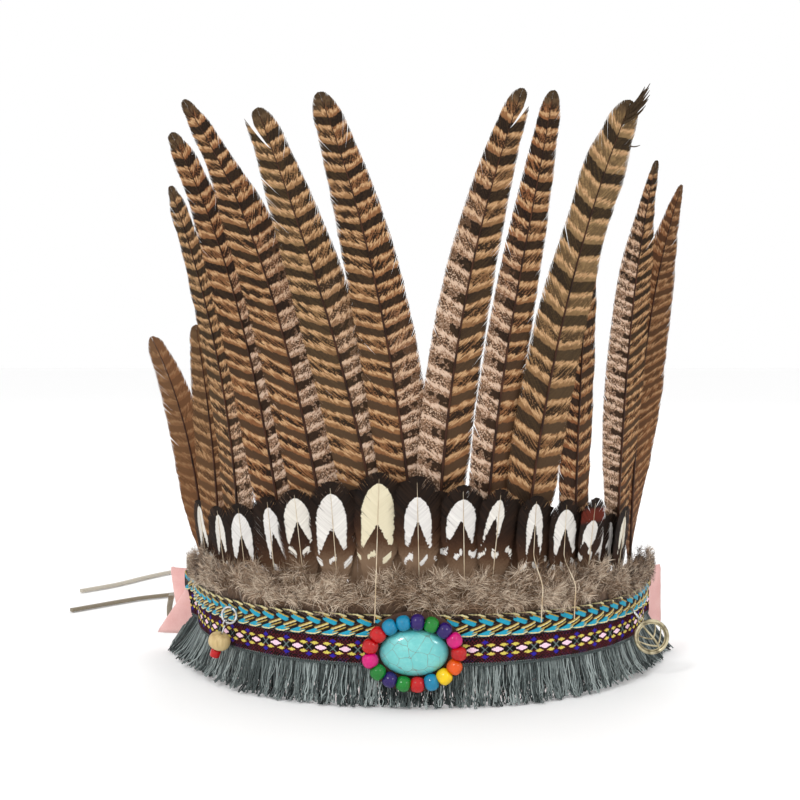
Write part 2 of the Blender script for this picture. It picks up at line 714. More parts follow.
def web_part(web, attributes):
    """A web's barbs as strips that overlap like shingles and narrow at their ends, with attributes."""
    q = np.linspace(0, 1, web["paths"].shape[1])
    across = unit(np.cross(web["out"], unit(np.gradient(web["paths"], axis=1))))
    across = across * np.sign((across * web["ahead"]).sum(-1, keepdims=True) + 1e-9)
    turned_by = np.abs((across * web["ahead"]).sum(-1))
    half = web["barb"] * np.maximum(turned_by, 0.45) * np.interp(q, [0, 0.85, 1], [0.8, 0.95, 0.4])
    shape = strips(web["paths"], half, unit(across + shingle_lift * web["out"]))
    both_edges = {key: np.repeat(np.broadcast_to(value, web["up"].shape).ravel(), 2)
                  for key, value in attributes.items()}
    return shape, both_edges


def quill_tube(spine, up, radii, rise, sides):
    """A quill along a spine, lifted off the vane by so much at each point."""
    path = spine.at(up) + spine.out_at(up) * rise[:, None]
    return tubes(path, radii, sides, spine.side_at(up))


# The tail feathers, from left to right: how long a bar and its gap are, how far the bars rise along the
# left and the right web, which web is the pale one and up to where, and how olive the feather is. Some
# have their own form of tip, a twist in degrees, bars that are partly lost, or cuts in the vane.
tail_rows = [
    {"pitch": 11, "rise": (0.6, 0.3), "pale": 1, "pale_to": 0.5, "olive": 0.3, "twist": 55, "plain": 0.75},
    {"pitch": 11, "rise": (0.6, 0.3), "pale": 1, "pale_to": 0.5, "olive": 0.4, "twist": 35, "plain": 0.4},
    {"pitch": 10, "rise": (0.6, 0.3), "pale": 1, "pale_to": 0.5, "olive": 0.5, "blunt": (1.0, 1.4, 1.5)},
    {"pitch": 12.3, "rise": (0.65, 0.45), "pale": 1, "pale_to": 0.7, "olive": 0.05,
     "blunt": (0.9, 1.25, 1.5)},
    {"pitch": 11.5, "rise": (0.75, 0.25), "pale": 1, "pale_to": 0.7, "olive": 0.15,
     "blunt": (0.75, 0.95, 1.3)},
    {"pitch": 12, "rise": (0.65, 0.3), "pale": 1, "pale_to": 0.62, "olive": 0.55,
     "cuts": ((-1, 0.925, 2.4 * MM, 4 * MM),)},
    {"pitch": 11.5, "rise": (0.5, 0.3), "pale": 1, "pale_to": 0.55, "olive": 0.25},
    {"pitch": 15, "rise": (0.4, 0.6), "pale": -1, "pale_to": 0.8, "olive": 0.3,
     "cuts": ((1, 0.93, 1.8 * MM, 1 * MM),)},
    {"pitch": 13.3, "rise": (0.45, 0.3), "pale": -1, "pale_to": 0.7, "olive": 0.1},
    {"pitch": 16, "rise": (0.55, 0.25), "pale": -1, "pale_to": 0.2, "olive": 0.95, "blunt": (1.4, 1.35, 1.1),
     "cuts": ((-1, 0.84, 8 * MM, 0.6 * MM), (1, 0.95, 2 * MM, 0.5 * MM))},
    {"pitch": 12, "rise": (0.4, 0.5), "pale": -1, "pale_to": 0.3, "olive": 0.0},
    {"pitch": 9, "rise": (0.4, 0.7), "pale": -1, "pale_to": 0.9, "olive": 0.2, "twist": -30,
     "blunt": (0.75, 0.7, 1)},
    {"pitch": 9, "rise": (0.4, 0.7), "pale": -1, "pale_to": 0.2, "olive": 0.1, "twist": -50, "plain": 0.4,
     "blunt": (0.75, 0.7, 1)},
]
tufted_feather = 10


def tail_web(web, number, row, widest):
    """One web of a tail feather, with its bars counted from the tip."""
    from_tip, up = web["from_tip"], web["up"]
    rise = row["rise"][web["web"] > 0]
    bend = 2 * MM
    out = np.sqrt(web["lateral"] ** 2 + bend**2) - bend
    shift = 0.6 * MM * np.sin(from_tip / MM / 9 + number * 2 + web["web"])
    is_pale = web["web"] == row["pale"]
    return web_part(web, {
        "bar": (from_tip + rise * out + shift) / (row["pitch"] * MM) + 0.02,
        "tooth": web["tooth"] / row["pitch"],
        "tone": web["tone"],
        "pink": 0.7 * is_pale * smooth_step(up, row["pale_to"] + 0.12, row["pale_to"] - 0.2),
        "faint": smooth_step(up, 0.75, 0.4) * (0.15 if is_pale else 0.6),
        "olive": min(1.0, row["olive"] + (0 if is_pale else 0.25)) * smooth_step(up, 0.0, 0.8),
        "margin": np.abs(web["lateral"]) / widest,
        "plain": row.get("plain", 0.0),
        "tip": smooth_step(from_tip + 1.2 * MM * web["tooth"], 7 * MM, 5.6 * MM) * 0.9,
    })


def tail_feather(number, row, vane_look, quill_look):
    """A tail feather's vane, which stands for its node, and its quill."""
    node = f"tail_feather_{number:02d}"
    blunt = row.get("blunt", (1.05, 1.2, 1))
    spine = Spine(node, blunt, 0.94 if blunt[0] > 1 else 0.98, math.radians(row.get("twist", 0)))
    webs = vane(spine, tail_vane, 100 + number, row.get("cuts", ()))
    parts = [tail_web(web, number, row, spine.half.max()) for web in webs]
    if number == tufted_feather:
        parts += [bent_tuft(spine), hook_barb(spine)]
    shape, attributes = together(parts)
    piece(f"tail_vane_{number:02d}", shape, [vane_look], "tail_feather", node, attributes=attributes)
    up = np.linspace(0, 0.985, 60)
    radii = np.interp(up, [0, 0.1, 0.35, 0.75, 1], [1.15, 1.1, 0.62, 0.36, 0.12]) * MM
    rise = np.interp(up, [0, 0.1, 0.3, 1], [0, 0, 0.25, 0.1]) * MM
    piece(f"tail_quill_{number:02d}", quill_tube(spine, up, radii, rise, 8), [quill_look], "tail_feather")


loose_barb = {"bar": 0.1, "tooth": 0, "pink": 0, "faint": 0, "olive": 0.8, "margin": 0, "tip": 0.6,
              "plain": 0, "tone": 0.6}


def bent_tuft(spine):
    """The end barbs of this feather are bent away to the right, in a loose tuft."""
    random = np.random.default_rng(77)
    count, points = 26, 8
    each = (count, 1, 1)
    q = np.linspace(0, 1, points)
    along = q[:, None]
    root = np.linspace(0.958, 0.988, count)
    length = random.uniform(10, 15, each) * MM
    fan = np.linspace(0.8, 0.5, count)[:, None, None] + random.normal(0, 0.08, each)
    ahead, side, out = (d(root)[:, None] for d in (spine.ahead_at, spine.side_at, spine.out_at))
    heading = np.cos(fan) * ahead + np.sin(fan) * side
    paths = spine.at(root)[:, None] + length * (along * heading + 0.12 * along**2 * (ahead - side))
    paths = paths + out * (0.8 * MM * np.sin(along * 3) + 0.4 * MM * random.normal(0, 1, each))
    half = 0.55 * MM * np.interp(q, [0, 0.7, 1], [1, 0.8, 0.25])
    shape = strips(paths, half, unit(np.cross(out, unit(np.gradient(paths, axis=1)))))
    return shape, {**loose_barb, "tone": np.repeat(random.uniform(0, 1, count), points * 2)}


def hook_barb(spine):
    """One barb that stands out of the right edge and curls up."""
    q = np.linspace(0, 1, 10)
    root, side, ahead, out = (d(0.93) for d in (spine.at, spine.side_at, spine.ahead_at, spine.out_at))
    across = spine.half_at(0.93) - 1.5 * MM + 5 * MM * q
    path = root + across[:, None] * side + (2.2 * MM * q**2)[:, None] * ahead + 0.3 * MM * out
    half = 0.3 * MM * np.interp(q, [0, 0.7, 1], [1, 0.9, 0.3])
    return strips(path, half, unit(np.cross(out, unit(np.gradient(path, axis=0))))), loose_barb


# The plumes, from left to right, in millimetres: how far the white starts below the tip, how long it is,
# how far down the dark wedge reaches into it and how wide it is to one side, then how it leans, how
# cream it is and whether the shaft is seen over the down
plume_columns = ("rim", "long", "wedge", "wide", "lean", "cream", "shaft_seen")
plume_rows = [dict(zip(plume_columns, row)) for row in (
    (3, 20, 12, 4.5, 0.0, 0.1, False),
    (4, 20, 11, 3.6, 0.0, 0.1, False),
    (4.6, 22, 10, 6.2, 0.0, 0.0, False),
    (5, 24, 11.5, 4.4, 0.12, 0.0, False),
    (4, 20, 10.5, 6.2, 0.0, 0.15, False),
    (5.5, 26, 15, 6.9, -0.05, 0.05, False),
    (5, 28, 18, 7.3, 0.0, 0.6, True),
    (9.5, 23, 10.5, 6.1, 0.0, 0.0, False),
    (6.5, 19, 9, 6.6, -0.1, 0.0, False),
    (4.8, 19, 7.5, 3.8, -0.16, 0.1, False),
    (3.6, 23, 9, 4.3, 0.0, 0.05, True),
    (4.6, 21, 8.5, 6.8, 0.03, 0.05, True),
    (10.5, 11, 20, 5.2, -0.2, 0.05, False),
    (5, 18, 9, 3.6, 0.0, 0.3, False),
)]
rusty_plume = 13


def white_mark(row, web, seed):
    """How far inside the white mark each point of a web is, in millimetres: an arch with a dark wedge up
    its middle, and a broken second row of spots below it."""
    d = web["from_tip"] / MM - row["rim"]
    x = web["lateral"] / MM - row["lean"] * d
    tooth = web["tooth"]
    q = d / row["long"]
    arch = (1 - (1 - np.clip(q / 0.45, 0, 1)) ** 2) ** 0.55 * np.interp(q, [0, 0.5, 1], [0.92, 1, 0.94])
    inner = np.maximum(d - row["wedge"], 0) * 0.74 * row["wide"] / max(row["long"] - row["wedge"], 1)
    bottom = (1 - q) * row["long"] + 1.1 * tooth + 1.5 * np.sin(x * 0.8 + seed)
    white = np.minimum(row["wide"] * arch - np.abs(x) + 0.3 * tooth, bottom)
    white = np.where(d > row["wedge"], np.minimum(white, np.abs(x) - inner - 0.25 + 0.3 * tooth), white)
    white = np.where(d < 0, -1, white)
    wave = 1.6 * np.sin(x * 0.75 + seed * 1.7)
    spots = 1.3 - np.abs(d - row["long"] - 4.6 - wave - 0.8 * tooth)
    spots = np.minimum(spots, 2.4 * np.sin(x * 0.95 + seed * 2.3) + 0.6)
    return np.maximum(white, spots)


def plume(number, row, vane_look, shaft_look):
    """A plume's vane, which stands for its node, and its shaft, which may run on over the down."""
    node = f"plume_feather_{number:02d}"
    spine = Spine(node, (1.12, 1.12, 1.12, 1.3, 1), 0.86)
    parts = []
    for web in vane(spine, plume_vane, 300 + number):
        down = web["from_tip"]
        rust = smooth_step(down, 4 * MM, 6 * MM) * smooth_step(down, 12 * MM, 10 * MM)
        parts.append(web_part(web, {
            "white": white_mark(row, web, number), "depth": np.clip(down / (45 * MM), 0, 1),
            "tone": web["tone"], "cream": row["cream"], "rust": rust * (number == rusty_plume),
        }))
    shape, attributes = together(parts)
    piece(f"plume_vane_{number:02d}", shape, [vane_look], "plume", node, attributes=attributes)
    up = np.linspace(0.13 if row["shaft_seen"] else 0, 0.96, 44)
    radii = np.interp(up, [0, 0.3, 0.6, 1], [0.3, 0.26, 0.18, 0.06]) * MM
    rise = np.interp(up, [0, 0.2, 0.45, 1], [0, 0, 0.25, 0.08]) * MM
    if row["shaft_seen"]:
        rise = rise + smooth_step(up, 0.60, 0.36) * (ruff_span.outer - ribbon_span.inner - 1.2 * MM)
    piece(f"plume_shaft_{number:02d}", quill_tube(spine, up, radii, rise, 6), [shaft_look], "plume")


# The gaps of the row, counted from the left, that hold two dark plumes, and those whose plumes show a
# sliver of white. The dark plumes stand behind and are a few millimetres lower.
double_gaps = (0, 6, 8, 11, 12)
sliver_gaps = (1, 2, 12)
under_behind = -2.6 * MM
under_lower = (3, 7)


def under_plumes(look):
    """The dark plumes behind, which fill the gaps between the white-marked ones."""
    random = np.random.default_rng(55)
    numbers = range(1, len(plume_rows) + 1)
    spines = [Spine(f"plume_feather_{number:02d}", (1.05, 1.05, 1.05, 1.2, 1), 0.86) for number in numbers]
    parts = []
    for k, (one, two) in enumerate(zip(spines[:-1], spines[1:])):
        for share in ((0.33, 0.67) if k in double_gaps else (0.5,)):
            middle = Spine.between(one, two, share, -random.uniform(*under_lower) * MM, under_behind)
            for web in vane(middle, under_vane, 500 + 3 * k):
                down = web["from_tip"]
                spot = 1.0 - np.abs(down / MM - 24 - 3 * np.sin(k * 2.0) - web["tooth"])
                spot = np.minimum(spot, 2 * np.sin(web["lateral"] / MM + k * 1.9) - 0.8)
                parts.append(web_part(web, {
                    "white": white_mark(plume_rows[1], web, k) if k in sliver_gaps else spot,
                    "depth": np.clip(down / (42 * MM), 0, 1), "tone": web["tone"], "cream": 0, "rust": 0,
                }))
    shape, attributes = together(parts)
    piece("under_plumes", shape, [look], "plume", attributes=attributes)


# Strips of the band
def felt_lining(look):
    """The felt's wall, with rounded edges and a slightly uneven surface. Returns half its thickness."""
    fine = np.linspace(0, rail_station[-1], 420)
    top, bottom = hermite(fine, rail_station, rail_top), hermite(fine, rail_station, rail_bottom)
    out = unit(hermite(fine, rail_station, rail_half))
    r = np.linalg.norm(rail_half, axis=1).mean()
    share = np.linspace(0, 1, 15)
    edge = np.minimum(share, 1 - share) * felt_tall
    bulge = np.maximum(r * np.sqrt(1 - (1 - np.minimum(1, edge / r)) ** 2), 0.25 * r)
    around = [*zip(share, -bulge), *zip(share[::-1], bulge[::-1])]
    lines = []
    for level, depth in around:
        seed = int(900 * level) + (depth > 0) * 1000
        ripple = 0.12 * MM * wander(np.linspace(0, 1, len(fine)), 140, seed)
        lines.append(bottom + (top - bottom) * level + out * (depth + ripple[:, None]))
    count = len(around)
    k = np.arange(len(share) - 1)
    cap = np.stack([k, k + 1, count - 2 - k, count - 1 - k], 1)
    faces = [grid_faces(len(fine), count, wrap=True), cap, (len(fine) - 1) * count + cap[:, ::-1]]
    shape = np.stack(lines, 1), np.concatenate(faces)
    felt = piece("felt_lining_wool", shape, [look], "felt", "felt_lining")
    return r


def lining_stitches(look, inside):
    """The stitches that hold the trims, seen on the felt's inside."""
    pitch = 5 * MM
    t = np.linspace(0, 1, 6)
    paths = []
    for z in (ribbon_span.low + 1.4 * MM, ribbon_span.high - 1.2 * MM, braid_span.high - 2.6 * MM):
        for s in np.arange(ribbon_span.left + 3 * MM, ribbon_span.right - 3 * MM, pitch):
            dip = 0.28 * MM * np.sin(t * math.pi)
            paths.append(band.at(s + t * pitch * 0.62, 0.2 * MM - inside - dip, z))
    piece("lining_stitches", tubes(paths, 0.24 * MM, 5, UP), [look], "thread")


def woven_ribbon(looks):
    """The ribbon as its threads: a grid of small cells, each one float of a coloured thread."""
    cell = 0.36 * MM
    columns, rows = int(ribbon_span.run / cell), int(ribbon_span.tall / cell)
    s = np.linspace(ribbon_span.left, ribbon_span.right, columns + 1)
    z = np.linspace(ribbon_span.low, ribbon_span.high, rows + 1)
    over_and_under = 0.07 * MM * (-1.0) ** np.add.outer(np.arange(columns + 1), np.arange(rows + 1))
    inner = np.full((columns + 1, 1), ribbon_span.inner)
    offset = np.concatenate([inner, ribbon_span.outer + over_and_under, inner], 1)
    grid = band.at(s[:, None], offset, np.concatenate([z[:1], z, z[-1:]]))

    mid_s = (s[:-1] + s[1:]) / 2
    mid_z = np.concatenate([z[:1], (z[:-1] + z[1:]) / 2, z[-1:]]) - (ribbon_span.low + ribbon_span.high) / 2
    x, y = np.meshgrid(mid_s / MM, mid_z / MM, indexing="ij")
    kinds = jacquard_chart(x, y, ribbon_span.tall / MM)
    shape = grid, grid_faces(columns + 1, rows + 3)
    ribbon = piece("jacquard_weave", shape, looks, "jacquard", "jacquard_ribbon", kinds=kinds, smooth=False)


BLACK, MAROON, PURPLE, YELLOW, PINK, BLUE, GREY = range(7)


def jacquard_chart(x, y, width):
    """The thread colour at x along the ribbon and y across it, in millimetres: a row of pale pink
    lozenges, each between four yellow ones, with blue ones and grey crosses between, on black with
    maroon dots, and borders of maroon and purple zigzags with a grey edge."""
    repeat = 10.9
    u = np.abs((x + repeat / 2) % repeat - repeat / 2)
    v = np.abs(y)
    fine = ((np.floor(x / 0.8) + np.floor(y / 0.8)) % 2) == 0
    kinds = np.full(x.shape, BLACK)
    dots = (((x + y) / 1.6) % 1 < 0.25) | (((x - y) / 1.6) % 1 < 0.25)
    kinds[dots & (v > 1.2)] = MAROON
    cross = np.abs(np.abs(u - repeat / 2) - v) < 0.3
    kinds[cross & (v < 2.2)] = GREY

    def lozenge(across, up, wide, high):
        return (np.abs(u - across) / wide + np.abs(v - up) / high) < 1

    border = v > width * 0.34
    zigzag = ((x / 1.7 + np.sign(y) * v / 1.2) % 1) < 0.6
    kinds[border] = BLACK
    kinds[border & zigzag & fine] = MAROON
    kinds[border & ~zigzag & fine & ((x / 9) % 1 < 0.5)] = PURPLE
    kinds[(v > width * 0.465) & ((x / 1.1) % 1 < 0.5)] = GREY
    kinds[lozenge(0, 0, 3.0, 1.25)] = PINK
    kinds[lozenge(2.8, 1.95, 2.3, 1.1)] = MAROON
    kinds[lozenge(2.8, 1.95, 2.0, 0.8)] = YELLOW
    kinds[lozenge(repeat / 2, 3.2, 1.5, 0.95)] = BLUE
    return kinds


# The braid, in rows from the bottom up: the way its strands slant, how far the row is shifted, and
# where each strand lies across the row and its colour. A strand has a radius, and lies with its middle
# so deep under the braid's face. The thin ones are beaded.
braid_rows = [
    {"slant": 1, "shift": 0,
     "lanes": ((-1.3, "cream"), (-0.7, "turquoise"), (-0.05, "turquoise"), (0.6, "turquoise"))},
    {"slant": 1, "shift": 0.5,
     "lanes": ((-1.3, "gold"), (-0.6, "brown"), (0.0, "cream"), (0.45, "gold"), (1.0, "brown"))},
    {"slant": -1, "shift": 0,
     "lanes": ((-1.3, "gold"), (-0.7, "turquoise"), (-0.05, "turquoise"), (0.6, "turquoise"))},
    {"slant": -1, "shift": 0.5,
     "lanes": ((-1.25, "cream"), (-0.95, "cream"), (-0.3, "brown"), (0.4, "brown"))},
]
thick_strand = {"radius": 0.54 * MM, "deep": 0.52 * MM, "beaded": 0.0}
thin_strand = {"radius": 0.32 * MM, "deep": 0.12 * MM, "beaded": 0.28}
braid_strands = {"turquoise": thick_strand, "brown": thick_strand, "cream": thin_strand, "gold": thin_strand}
braid_pitch = 7.4 * MM


def braid_core(look, thick):
    """The dark body under the strands."""
    s = np.linspace(braid_span.left, braid_span.right, 300)
    turn = np.linspace(0, 2 * math.pi, 17)[:-1]
    middle = (braid_span.low + braid_span.high) / 2
    z = middle + (braid_span.tall / 2 - 0.5 * MM) * signed_power(np.cos(turn), 0.6)
    grid = band.at(s[:, None], braid_span.inner + 0.32 * thick * (1 + np.sin(turn)), z)
    piece("braid_core", (grid, grid_faces(len(s), len(turn), wrap=True)), [look], "braid", "braid_trim")


def braid(looks, core_look):
    """The braid as short slanting strands, joined by their colours, over a core."""
    thick = braid_span.outer - braid_span.inner
    braid_core(core_look, thick)
    row_high = braid_span.tall / len(braid_rows)
    t = np.linspace(0, 1, 11)
    face = 0.25 * thick + 0.7 * thick * np.sin(np.pi * np.clip(0.06 + 0.9 * t, 0, 1)) ** 0.7
    starts = np.arange(braid_span.left, braid_span.right - braid_pitch * 0.9, braid_pitch)
    paths = {key: [] for key in braid_strands}
    for k, row in enumerate(braid_rows):
        low = braid_span.low + k * row_high
        for start in starts + row["shift"] * braid_pitch:
            s = np.clip(start + t * braid_pitch * 1.08, braid_span.left, braid_span.right)
            for lane, key in row["lanes"]:
                z = low + row_high / 2 + (t - 0.5) * row_high * 1.3 + lane * row_high * 0.4
                z = z if row["slant"] > 0 else 2 * low + row_high - z
                z = np.clip(z, braid_span.low + 0.35 * MM, braid_span.high - 0.35 * MM)
                paths[key].append(band.at(s, braid_span.inner + face - braid_strands[key]["deep"], z))
    swell = np.interp(t, [0, 0.12, 0.88, 1], [0.35, 1, 1, 0.35])
    for key, strand in braid_strands.items():
        beads = 1 + strand["beaded"] * np.cos(np.arange(len(t)) * math.pi)
        shape = tubes(paths[key], strand["radius"] * swell * beads, 6, UP)
        piece(f"braid_{key}", shape, [looks[key]], "braid")


# The fringe: how high the feet of the frame's locks are and how far along the band they count, how far
# apart the yarns are, how wide the locks are that they gather in and how many points a leg has
foot_high = 5 * MM
foot_reach = 8 * MM
yarn_pitch = 0.81 * MM
yarn_lock = ribbon_span.run / 38
leg_points = 12


def yarn_layer(layer, depth, hem, random):
    """One layer of looped yarns, from the ribbon's back down to the hem, gathered in the frame's locks.
    u runs down one leg of a yarn and up the other."""
    s0 = np.arange(ribbon_span.left + 1 * MM, ribbon_span.right - 1 * MM, yarn_pitch)[:, None]
    s0 = s0 + layer * yarn_pitch / 3
    each = s0.shape
    share = (s0 - ribbon_span.left) / ribbon_span.run
    leg = np.linspace(0, 1, leg_points)
    u = np.concatenate([leg, leg[::-1]])
    leg_side = np.repeat([-1.0, 1.0], leg_points)
    near_end = np.sin(np.clip((u - 0.86) / 0.14, 0, 1) * math.pi / 2)
    gap = random.uniform(0.35, 1.0, each) * MM
    twist = random.uniform(0.6, 1.9, each)
    start = random.uniform(0, 6.28, each)
    legs = leg_side * np.cos(u * twist * math.pi + 0.3 * start) * gap * (1 - near_end)
    legs = legs + leg_side * near_end * gap * 1.15
    legs[:, leg_points - 1:leg_points + 1] *= 0.35
    lock_mid = ribbon_span.left + (np.floor((s0 - ribbon_span.left) / yarn_lock) + 0.5) * yarn_lock
    gather = (lock_mid - s0) * 0.14 * u**1.6
    sway = 1.5 * MM * wander(share, 150, 40 + layer) * u**1.4
    ripple = 0.55 * MM * np.sin(u * 10 + start) * u
    stray = random.normal(0, 1.0, each) * MM * u**2
    samples, reach, floor_z = hem
    bottom = np.interp(s0, samples, floor_z) + 0.35 * MM + np.abs(random.normal(0, 0.9, each)) * MM
    bottom = bottom + 0.9 * MM * np.abs((s0 - lock_mid) / yarn_lock * 2) ** 3
    head_z, head_offset = ribbon_span.low + 2.5 * MM, ribbon_span.inner - 0.8 * MM
    offset = head_offset + (np.interp(s0, samples, reach) - head_offset) * u**1.5
    bulk = depth * (0.25 + 1.3 * u) * MM + 0.7 * MM * wander(share, 120, 60 + layer) * u
    curl = 1.4 * MM * random.normal(0, 1, each) * near_end
    s = s0 + legs + gather + sway + ripple + stray
    paths = band.at(s, offset + bulk + curl, head_z + (bottom - head_z) * u)
    shape = tubes(paths, random.uniform(0.25, 0.35, each) * MM, 3, band.outward(s0), turn=0.5)
    tone = np.clip(0.44 + 0.15 * depth + 0.36 * random.normal(0, 1, len(s0)), 0, 1)
    return shape, {"tone": np.repeat(tone, len(shape[0]) // len(s0))}


def fringe(look):
    """Three layers of looped yarns and the chain that they hang from, two waves of thread."""
    samples = np.linspace(ribbon_span.left, ribbon_span.right, 60)
    near = [(fringe_span.z < foot_high) & (np.abs(fringe_span.s - s) < foot_reach) for s in samples]
    reach = [fringe_span.offset[mask].mean() for mask in near]
    hem = samples, reach, [fringe_span.z[mask].min() for mask in near]
    random = np.random.default_rng(21)
    parts = [yarn_layer(layer, depth, hem, random) for layer, depth in enumerate((-1.0, 0.0, 1.0))]
    shape, attributes = together(parts)
    piece("fringe_yarns", shape, [look], "yarn", "fringe", attributes=attributes)

    s = np.arange(ribbon_span.left, ribbon_span.right, 0.2 * MM)
    phase = s * 2 * math.pi / (2.1 * MM) + np.array([[0], [math.pi]])
    z = ribbon_span.low - 0.55 * MM + 0.6 * MM * np.sin(phase)
    paths = band.at(s, ribbon_span.outer - 0.55 * MM + 0.25 * MM * np.cos(phase), z)
    shape = tubes(paths, 0.3 * MM, 4, UP + 0.001 * band.outward(s))
    piece("fringe_chain", shape, [look], "yarn", attributes={"tone": 0.5})


def ruff(look, base_look):
    """The down: a soft body in the frame's form, and tufts of fine barbs that arch out over it."""
    random = np.random.default_rng(31)
    top = ruff_span.z > braid_span.high + 8 * MM
    samples = np.linspace(ruff_span.left, ruff_span.right, 70)
    high = np.array([ruff_span.z[top & (np.abs(ruff_span.s - s) < 9 * MM)].max() for s in samples])
    high = np.convolve(np.pad(high, 2, mode="edge"), np.ones(5) / 5, mode="valid")
    down_body(base_look, (samples, high), random)
    down_barbs(look, (samples, high), random)


def down_body(look, crest, random):
    """The soft body: up the front, over the crest and down the back."""
    root_z = braid_span.high - 3 * MM
    s = np.linspace(ruff_span.left, ruff_span.right, 500)[:, None]
    share = np.linspace(0, 1, len(s))[:, None]
    t = np.linspace(0, 1, 16)
    front = 0.5 * MM + 3 * MM * np.sin(t * math.pi * 0.8) + 0.9 * MM * wander(share, 90, 3) * np.sin(t * 3)
    back = 0.2 * MM + 1.2 * MM * t**1.4 + 0 * s
    z = root_z + (np.interp(s, *crest) - 12 * MM + 2.5 * MM * wander(share, 60, 8) - root_z) * t
    z = np.concatenate([z, z[:, ::-1] + 0.1 * MM], 1)
    grid = band.at(s, ribbon_span.inner + np.concatenate([front, back[:, ::-1]], 1), z)
    shade = np.tile(0.1 + 0.3 * np.concatenate([t, t[::-1]]), len(s))
    piece("down_body", (grid, grid_faces(len(s), 2 * len(t), wrap=True)), [look], "down", "down_ruff",
          attributes={"tone": shade + 0.1 * random.normal(0, 1, len(shade))})


def down_barbs(look, crest, random):
    """Tufts of fine barbs. Each tuft has its place, height, lean, bend and tone, and a barb springs to
    one side of the tuft's shaft and bends over on its way. The barbs that come low lie over the braid."""
    tufts, barbs, points = 300, 72, 5
    each, every = (tufts, 1), (tufts, barbs)
    q = np.linspace(0, 1, points)
    tuft_s = random.uniform(ruff_span.left + 0.5 * MM, ruff_span.right - 0.5 * MM, each)
    level = random.uniform(0, 1, each) ** 1.15
    tuft_z = braid_span.high + 1.5 * MM + level * (np.interp(tuft_s, *crest) - 14 * MM - braid_span.high)
    lean = random.normal(0, 0.5, each)
    tuft_tone = np.clip(0.5 + 0.36 * random.normal(0, 1, each), 0, 1)
    tuft_bend = random.normal(0, 0.7, each)
    up_shaft = random.uniform(0, 1, every) * random.uniform(2, 8, each) * MM
    root_s = (tuft_s + lean * up_shaft)[..., None]
    root_z = (tuft_z + up_shaft * 0.8)[..., None]
    root_out = ribbon_span.inner + 2.2 * MM + 2.4 * MM * np.sin(np.clip(0.15 + level * 0.7, 0, 1) * math.pi)
    side = np.where(random.uniform(0, 1, every) < 0.5, -1.0, 1.0)
    length = random.uniform(5, 10.5, every) * MM * (1 - 0.3 * level)
    angle = side * random.uniform(0.2, 1.5, every) + lean
    bend = side * random.uniform(-0.5, 1.6, every) + tuft_bend
    heading = angle[..., None] + bend[..., None] * q
    step = (length / (points - 1))[..., None]
    across = np.cumsum(np.sin(heading) * step, -1) - np.sin(heading[..., :1]) * step
    rising = np.cumsum(np.cos(heading) * step, -1) - np.cos(heading[..., :1]) * step
    puff = random.uniform(-0.4, 1.5, every)[..., None] * 2.2 * MM * np.sin(q * 2.2)
    s = root_s + across + 0.25 * MM * random.normal(0, 1, across.shape) * q
    z = np.clip(root_z + rising, braid_span.high - 1.2 * MM, ruff_span.high + 4 * MM)
    offset = root_out[..., None] + puff
    offset = np.where(z < braid_span.high, np.maximum(offset, braid_span.outer + 0.2 * MM), offset)
    paths = as_paths(band.at(np.clip(s, ruff_span.left - 2 * MM, ruff_span.right + 2 * MM), offset, z))
    tilt = random.normal(0, 0.5, (len(paths), 1, 1)) * np.array([0.3, 0.2, 1.0])
    normal = band.outward(s.reshape(-1, points)) + tilt
    half = random.uniform(0.07, 0.15, (len(paths), 1)) * MM * np.interp(q, [0, 0.3, 1], [0.8, 1, 0.15])
    shape = strips(paths, half, unit(np.cross(unit(np.gradient(paths, axis=1)), normal)))
    tone = np.clip(tuft_tone + 0.24 * random.normal(0, 1, every), 0, 1)
    piece("down_barbs", shape, [look], "down", attributes={"tone": np.repeat(tone.ravel(), points * 2)})


# Hard pieces
def middle_of(points):
    return (points.min(0) + points.max(0)) / 2


def axes_of(points):
    """The axes of points, the longest first."""
    return np.linalg.svd(points - points.mean(0))[2]


def lathe(profile, sides):
    """A body of revolution about z, from (radius, height) points."""
    angle = np.arange(sides) * 2 * math.pi / sides
    radius, height = np.asarray(profile, float).T[..., None]
    ring = np.stack(np.broadcast_arrays(radius * np.cos(angle), radius * np.sin(angle), height), -1)
    return ring.reshape(-1, 3), grid_faces(len(radius), sides, wrap=True)


def turned(points, middle, up, side):
    """Points given along x, y, z put at middle with z along up and x along side."""
    up = unit(up)
    side = unit(side - (side @ up) * up)
    return points @ np.stack([side, np.cross(up, side), up]) + middle


def drilled_bead(length, radius, hole, sides, fullness):
    """A bead: round outside, with a soft edge into its hole."""
    t = np.linspace(-math.pi / 2, math.pi / 2, 19)
    r = hole + (radius - hole) * signed_power(np.cos(t), 2 / fullness)
    z = length / 2 * signed_power(np.sin(t), 2 / fullness)
    inside = [(hole * 0.96, length * 0.4), (hole * 0.96, -length * 0.4)]
    return lathe(np.concatenate([np.stack([r, z], 1), inside, [(r[0], z[0])]]), sides)


def cabochon_stone(look, out, side):
    """The oval stone: a short wall and a dome, a little wider than the frame's."""
    stone = node_points("cabochon")
    wide, high = (np.ptp(stone @ axis) / 2 + 0.4 * MM for axis in (side, UP))
    base = (stone @ out).min()
    middle = middle_of(stone)
    middle = middle + out * (base - middle @ out)
    t = np.linspace(0, math.pi / 2, 22)[:-1]
    dome = [(math.cos(a) ** 0.72, 0.1 + 0.9 * math.sin(a) ** 1.1) for a in t]
    points, faces = lathe([(0, 0), (0.985, 0), (1, 0.03), *dome, (0.001, 1)], 64)
    points = points * (wide, high, np.ptp(stone @ out)) @ np.stack([side, UP, out]) + middle
    piece("cabochon_stone", (points, faces), [look], "turquoise", "cabochon")


bead_count = 17


